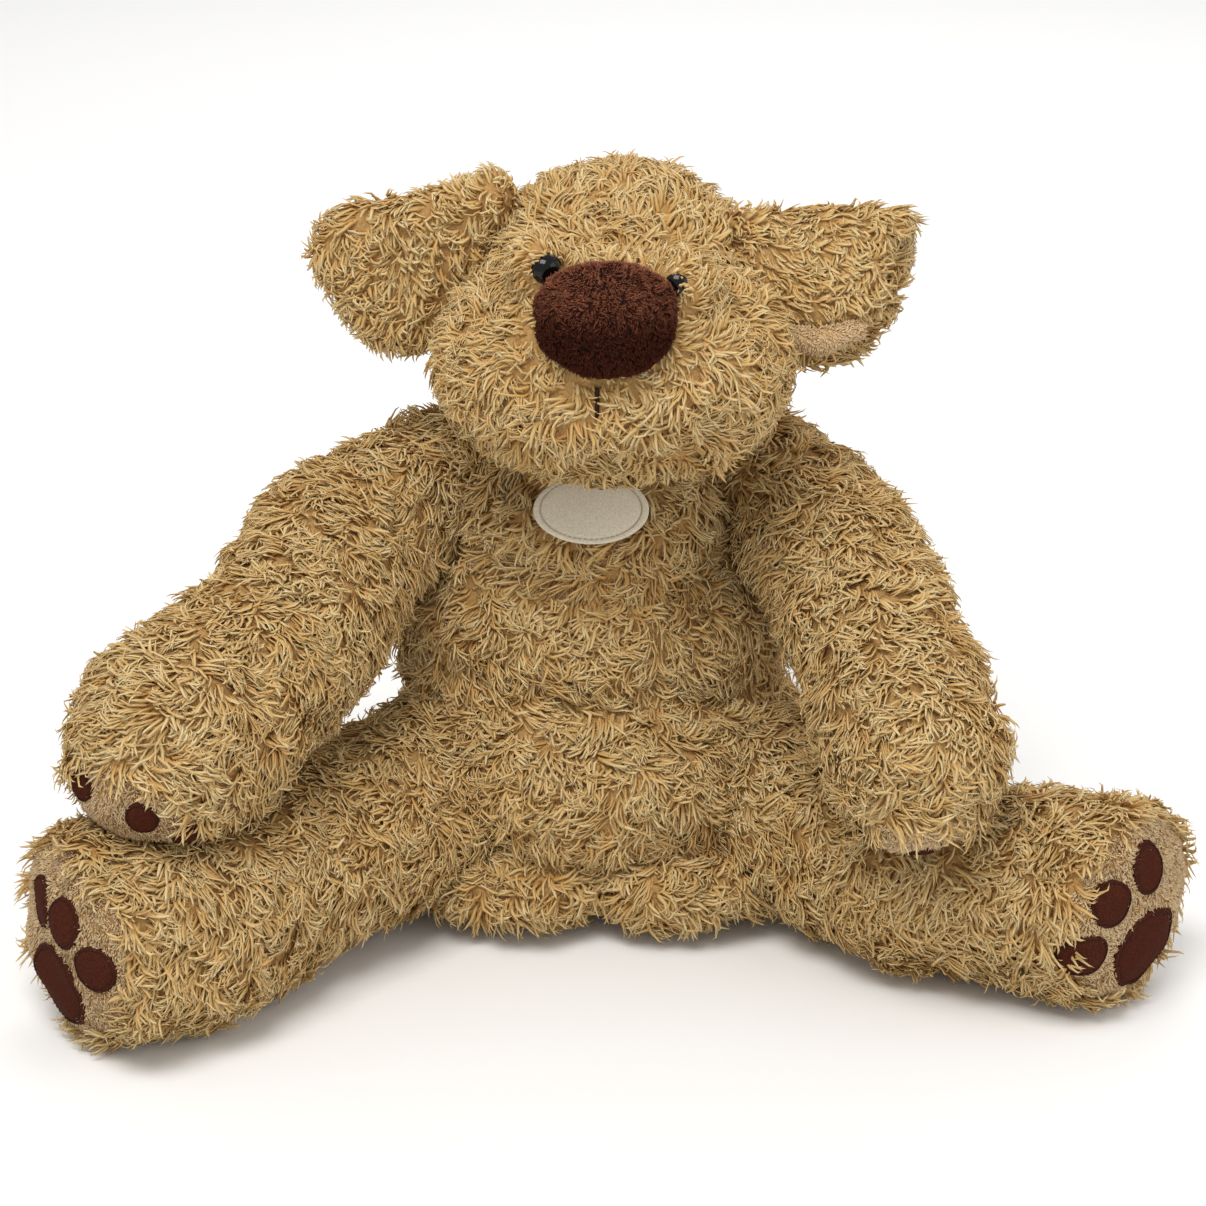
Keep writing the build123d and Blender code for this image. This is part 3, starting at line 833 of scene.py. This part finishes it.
def pad(name, body, centre, along, offset, size, dome, spin=0.0):
    """A suede patch, sewn to the limb's own surface with a ring of small stitches.

    The patch is an ellipse of half sizes `size`, set off from the middle of a dome (radius across,
    height) that faces along, and turned by spin degrees.
    """
    skin = SKINS[body]
    along, right, up = frame_round(along)
    inside = np.array(centre) - along * 20
    c, s = math.cos(math.radians(spin)), math.sin(math.radians(spin))
    segments = 40
    rings = (0.25, 0.5, 0.7, 0.80, 0.86, 0.92, 0.97, 1.0, 1.0)
    rise = (1.9, 1.9, 1.85, 1.7, 1.35, 1.6, 1.45, 1.0, -0.6)     # a groove runs under the stitches
    seam, seam_rise, stitch_pitch = 0.88, 1.55, 2.3

    def spot(t, angle, lift):
        x, y = t * size[0] * math.cos(angle), t * size[1] * math.sin(angle)
        a, b = offset[0] + x * c - y * s, offset[1] + x * s + y * c
        over = dome[1] * math.sqrt(max(0.02, 1 - (a * a + b * b) / dome[0] ** 2))
        flat = np.array([a / dome[0] ** 2, b / dome[0] ** 2, over / dome[1] ** 2])
        flat /= np.linalg.norm(flat)
        out = right * flat[0] + up * flat[1] + along * flat[2]
        at = np.array(centre) + right * a + up * b + along * over
        hit = skin.ray_cast(Vector(inside), Vector(at - inside))[0]
        return np.array(hit) + out * lift, out

    COVERED.append((spot(0, 0, 0)[0], min(size) - 0.7))
    verts = [spot(0, 0, rise[0])[0]]
    for t, lift in zip(rings, rise):
        verts += [spot(t, 2 * math.pi * k / segments, lift)[0] for k in range(segments)]
    verts.append(spot(0, 0, rise[-1])[0])
    patch = solid_from(name, verts, disc_faces(len(rings), segments), suede)
    count = int(2 * math.pi * max(size) / stitch_pitch)
    spots, directions = [], []
    for k in range(count):
        angle = 2 * math.pi * k / count
        here, out = spot(seam, angle, seam_rise)
        onwards = unit(spot(seam, angle + 0.05, seam_rise)[0] - here)
        spots.append(here)
        directions.append((onwards, out))
    thread = solid_from(name + "_stitches", *beads(spots, directions, 1.6, 0.65), dark_thread)
    for piece, slot in ((patch, "pad_suede"), (thread, "thread")):
        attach(piece, body)


SKINS = {body: surface_of(form) for body, form in forms.items()}
# fan: degrees that the toes are turned round the sole; ring: how far they stand from the main pad
FOOT_PADS = {
    "left_leg": {"fan": 18, "ring": 29.5, "drop": 16},
    "right_leg": {"fan": -39, "ring": 31, "drop": 14},
}
TOE_STEP = 38            # degrees from toe to toe
for body, foot in FEET.items():
    side = body.split("_")[0]
    layout = FOOT_PADS[body]
    dome = (foot["rim"] + 3, foot["bulge"] + 1.2)
    main_at = np.array([0, -layout["drop"]])
    for k, step in enumerate((-1, 0, 1)):
        angle = math.radians(90 + layout["fan"] + TOE_STEP * step)
        at = main_at + layout["ring"] * np.array([math.cos(angle), math.sin(angle)])
        spin = math.degrees(angle) - 90
        pad(f"{side}_foot_toe_pad_{k + 1}", body, foot["centre"], foot["along"], at, (8.3, 9.4), dome, spin)
    pad(f"{side}_foot_main_pad_suede", body, foot["centre"], foot["along"], main_at, (16.5, 15), dome)
for body, paw in PAWS.items():
    side = body.split("_")[0]
    ball = (paw["radius"] + 1.5, paw["radius"] + 1.5)
    for k, toe in enumerate(paw["toes"]):
        pad(f"{side}_paw_toe_pad_{k + 1}", body, paw["centre"], toe, (0, 0), (5.6, 6.8), ball)
    pad(f"{side}_paw_main_pad_suede", body, paw["centre"], paw["main"], (0, 0), (10, 9), ball)


# ---------------------------------------------------------------- the long and the short pile
LENGTHS = {
    "torso": 11.5, "neck": 9, "head": 10.5, "left_ear": 8.5, "right_ear": 8.5,
    "left_arm": 11.5, "right_arm": 11.5, "left_leg": 11.5, "right_leg": 11.5, "tail": 13,
}
CELL = 1.72              # from lock to lock in the long pile
LOCK_WIDTH = 1.25
NAP_CELL = 0.82          # from strand to strand in the short pile
LIP_CELL = 0.8
NOSE_CELL = 0.56
NAP = {"lean": (35, 70), "clump": 2.5, "gather": 0.15, "swirl": 0.9, "wave": 0.2, "shape": SHORT}
coarser = 1.0


# the pile of a body is split into pieces, none with more than 200,000 triangles
def slab(axis, low=-math.inf, high=math.inf):
    """Tells which points lie from low up to high along an axis (0, 1 or 2) or a direction."""
    direction = np.eye(3)[axis] if isinstance(axis, int) else np.array(axis, float)
    return lambda p: (p @ direction >= low) & (p @ direction < high)


def both(first, second):
    return lambda p: first(p) & second(p)


everywhere = slab(2)
in_front, behind = slab(1, high=-12), slab(1, low=-12)
on_left, on_right = slab(0, high=0), slab(0, low=0)
face = slab(2, low=202)
LEFT_ARM_CUT = ((0.8, -0.6, 0), -112 * 0.8 + 74 * 0.6)
RIGHT_ARM_CUT = ((0.93, 0.37, 0), 101 * 0.93 - 74 * 0.37)
SPLITS = {
    "torso": {
        "torso_front_left_pile": both(in_front, on_left),
        "torso_front_right_pile": both(in_front, on_right),
        "torso_back_left_pile": both(behind, on_left),
        "torso_back_right_pile": both(behind, on_right),
    },
    "neck": {"neck_pile": everywhere},
    "head": {
        "head_chin_pile": slab(2, high=202),
        "head_left_pile": both(face, slab(0, high=-14)),
        "head_right_pile": both(face, slab(0, low=16)),
        "head_centre_pile": both(face, slab(0, low=-14, high=16)),
    },
    "left_ear": {"left_ear_pile": everywhere},
    "right_ear": {"right_ear_pile": everywhere},
    "left_arm": {
        "left_arm_front_pile": slab(LEFT_ARM_CUT[0], high=LEFT_ARM_CUT[1]),
        "left_arm_back_pile": slab(LEFT_ARM_CUT[0], low=LEFT_ARM_CUT[1]),
    },
    "right_arm": {
        "right_arm_front_pile": slab(RIGHT_ARM_CUT[0], high=RIGHT_ARM_CUT[1]),
        "right_arm_back_pile": slab(RIGHT_ARM_CUT[0], low=RIGHT_ARM_CUT[1]),
    },
    "left_leg": {"left_leg_top_pile": slab(2, low=38), "left_leg_bottom_pile": slab(2, high=38)},
    "right_leg": {"right_leg_top_pile": slab(2, low=36), "right_leg_bottom_pile": slab(2, high=36)},
    "tail": {"tail_pile": everywhere},
}

SHORT_NAMES = {
    "left_ear": "left_ear_lining_pile", "right_ear": "right_ear_lining_pile",
    "left_arm": "left_paw_sole_pile", "right_arm": "right_paw_sole_pile",
    "left_leg": "left_foot_sole_pile", "right_leg": "right_foot_sole_pile",
}
# the forms that may bury each body's pile
COVERING = {
    "neck": ("torso", "head"), "head": ("neck",),
    "torso": ("neck", "left_leg", "right_leg", "left_arm", "right_arm"),
    "left_ear": ("head",), "right_ear": ("head",), "left_arm": ("torso",), "right_arm": ("torso",),
    "left_leg": ("torso",), "right_leg": ("torso",), "tail": ("torso",),
}
BURIED = 8               # this deep under another form's skin, no pile is grown


def shows(body, points):
    """Which points aren't buried in a neighbouring form."""
    seen = np.ones(len(points), bool)
    for other in COVERING[body]:
        tree = SKINS[other]
        for k in np.flatnonzero(seen):
            here = Vector(points[k])
            spot, outward, _, away = tree.find_nearest(here)
            seen[k] = away < BURIED or (here - spot).dot(outward) > 0
    return seen


dress(ear_lip, sole_backing)
at, normal = surface_samples(ear_lip, LIP_CELL * coarser, 170)
tufts = locks(at, normal, np.tile([0.9, -0.2, -0.4], (len(at), 1)), 2.1, 0.68, 171, **NAP)
lip_pile = lock_mesh("right_ear_lip_pile", tufts, short_pile, shape=SHORT)

pile = {}
short = {}
for index, (body, form) in enumerate(forms.items()):
    at, normal = surface_samples(form, CELL * coarser, 100 + index)
    grows = long_here(body, at, normal)
    at, normal = at[grows], normal[grows]
    seen = shows(body, at)
    at, normal = at[seen], normal[seen]
    length = LENGTHS[body] * pile_length(body, at)
    tufts = locks(at, normal, COMBS[body](at, normal), length, LOCK_WIDTH * coarser, 200 + 20 * index)
    pile[body] = [lock_mesh(name, part_of(tufts, inside(at)), fur) for name, inside in SPLITS[body].items()]

    at, normal = surface_samples(form, NAP_CELL * coarser, 150 + index)
    grows = short_here(body, at, normal)
    if grows.any():
        for spot, radius in COVERED:
            grows &= np.linalg.norm(at - spot, axis=1) > radius
        at, normal = at[grows], normal[grows]
        comb = np.tile([0.1, -0.2, -1.0], (len(at), 1))
        tufts = locks(at, normal, comb, 2.4, 0.72, 400 + 20 * index, **NAP)
        short[body] = lock_mesh(SHORT_NAMES[body], tufts, short_pile, shape=SHORT)

# ---------------------------------------------------------------- nose
nose = stuffed("nose_form", [
    egg((1, -92, 247), (22.5, 15, 13.5), -15),
    egg((1, -92, 239.5), (21.5, 15, 14.5), -10),
], voxel=1.6, smoothing=8)
p, n = points_of(nose), normals_of(nose)
DIMPLE = 4.5             # how wide the dimples along the top are
for dimple_at, deep in (((2.5, -99, 259.5), 3.0), ((17, -98, 254), 2.6), ((-13, -99, 256), 1.0)):
    near = np.linalg.norm(p - np.array(dimple_at), axis=1)
    p = p - n * (deep * np.exp(-(near / DIMPLE) ** 2))[:, None]
reshape(nose, p)
lumpy(nose, 91, 0.4, 16)
dress(nose, nose_backing)
at, normal = surface_samples(nose, NOSE_CELL * coarser, 700)
outside = at[:, 1] < -78             # the part that stands out of the face
at, normal = at[outside], normal[outside]
tufts = locks(at, normal, unit(at - np.array([1, -92, 262])), 2.3, 0.42, 710,
              lean=(30, 66), clump=2.0, gather=0.05, swirl=0.35, wave=0.1, shape=SHORT)
# painted light: the nose's pile turns paler towards its top, where the light from above falls and shines on
# it
painted_top_light = 0.36 + (at[:, 2] - 246) * 0.06
tufts["tone"] = np.clip(painted_top_light + 0.08 * np.random.default_rng(5).normal(size=len(at)), 0, 1)
nose_tufts = lock_mesh("nose_pile", tufts, nose_pile, shape=SHORT)
for piece in (nose, nose_tufts):
    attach(piece, "head")


# ---------------------------------------------------------------- name tag, with no lettering
def tag_point(share, angle, lift):
    """A point of the gently waving tag: its share of the way out, its angle, and its height."""
    x, y = share * TAG_HALF[0] * math.cos(angle), share * TAG_HALF[1] * math.sin(angle)
    sway = 1.3 * math.sin(x / 9.0) * (0.4 + y / 24) + 0.9 * math.cos((x + 4) / 13.0)
    z = lift + sway
    return TAG_AT + np.array([x, y * math.cos(TAG_TILT) - z * math.sin(TAG_TILT),
                              y * math.sin(TAG_TILT) + z * math.cos(TAG_TILT)])


TAG_SKIN = 0.75          # half the tag's thickness
TAG_STITCHES = 58
seam, seam_lift = 0.88, 0.72
rings = [0.15, 0.3, 0.45, 0.6, 0.72, 0.82, seam, 0.93, 0.975, 1.0, 1.0, 0.975, 0.9, 0.75, 0.5, 0.25]
lifts = [TAG_SKIN] * 6 + [0.5, 0.72, 0.66, 0.35, -0.35, -0.66] + [-TAG_SKIN] * 4
segments = 72
verts = [tag_point(0, 0, TAG_SKIN)]
for share, lift in zip(rings, lifts):
    verts += [tag_point(share, 2 * math.pi * k / segments, lift) for k in range(segments)]
verts.append(tag_point(0, 0, -TAG_SKIN))
tag = solid_from("tag_cloth", verts, disc_faces(len(rings), segments), felt)
spots, directions = [], []
for k in range(TAG_STITCHES):
    angle = 2 * math.pi * (k + 0.5) / TAG_STITCHES
    here, after = tag_point(seam, angle, seam_lift), tag_point(seam, angle + 0.04, seam_lift)
    spots.append(here)
    directions.append((unit(after - here), np.array([0, -math.sin(TAG_TILT), math.cos(TAG_TILT)])))
tag_stitches = solid_from("tag_stitches", *beads(spots, directions, 1.5, 0.55), tag_thread)

# ---------------------------------------------------------------- closing stitches under the back's pile
CLOSING = {"count": 6, "lowest": 92, "pitch": 8}
spots = []
for k in range(CLOSING["count"]):
    inside = Vector((0, 0, CLOSING["lowest"] + CLOSING["pitch"] * k))
    spots.append(np.array(SKINS["torso"].ray_cast(inside, Vector((0, 1, 0)))[0]) + (0, 0.5, 0))
directions = [(np.array([1.0, 0, 0]), np.array([0, 1.0, 0]))] * CLOSING["count"]
closing = solid_from("back_closing_thread", *beads(spots, directions, 7, 1.6), dark_thread)

# ---------------------------------------------------------------- what each piece moves with, and the parts of the model that are hidden
# where the cloth of a limb leaves the body it is sewn to, and where it moves with the limb alone
SEWN = {
    "left_arm": ("torso", (-54.6, 9.4, 148), (-80, -16, 137)),
    "right_arm": ("torso", (54.6, 9.4, 148), (77, -18, 137)),
    "left_leg": ("torso", (-45, -19, 34), (-78, -52, 35)),
    "right_leg": ("torso", (45, -19, 34), (80, -50, 35)),
    "left_ear": ("head", (-46, -12, 235), (-66, -12, 235)),
    "right_ear": ("head", (50, -12, 232), (70, -12, 232)),
    "tail": ("torso", (0, 50, 38), (0, 70, 50)),
}


def sew_on(piece, body):
    """Moves a piece with its body; a piece of a body sewn to another only has its placement baked into its
    mesh.
    """
    if body in SEWN:
        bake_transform(piece)
    else:
        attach(piece, body)


for body, form in forms.items():
    for piece in (form, *pile[body]):
        sew_on(piece, body)
for body, piece in short.items():
    if body.endswith("ear"):
        sew_on(piece, body)
    else:
        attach(piece, body)
for piece in (ear_lip, lip_pile):
    sew_on(piece, "right_ear")
for piece, slot in ((tag, "tag_cloth"), (tag_stitches, "tag_thread"), (closing, "thread")):
    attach(piece, "torso")

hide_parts("nose_cover", "nose_stuffing")
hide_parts("name_tag")
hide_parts("name_tag_stitching")
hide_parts("back_closing_stitches")
for body, piece in short.items():
    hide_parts(SHORT_NAMES[body].removesuffix("_pile"))
for side in ("left", "right"):
    for place in ("foot", "paw"):
        for k in (1, 2, 3):
            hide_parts(f"{side}_{place}_toe_pads")
        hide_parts(f"{side}_{place}_main_pad")
# each body's cover and everything held inside it, apart from the nose's own, is hidden, with the form shown
# in its place
INSIDE_A_FORM = (
    "_panel", "_gusset", "_ear_outer", "tail_cover", "pellet_bag", "pellets", "_washer", "_stuffing")
for node, solid in frame["nodes"].items():
    if node.endswith(INSIDE_A_FORM) and node != "nose_stuffing":
        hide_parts(forms[solid["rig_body"]], node)
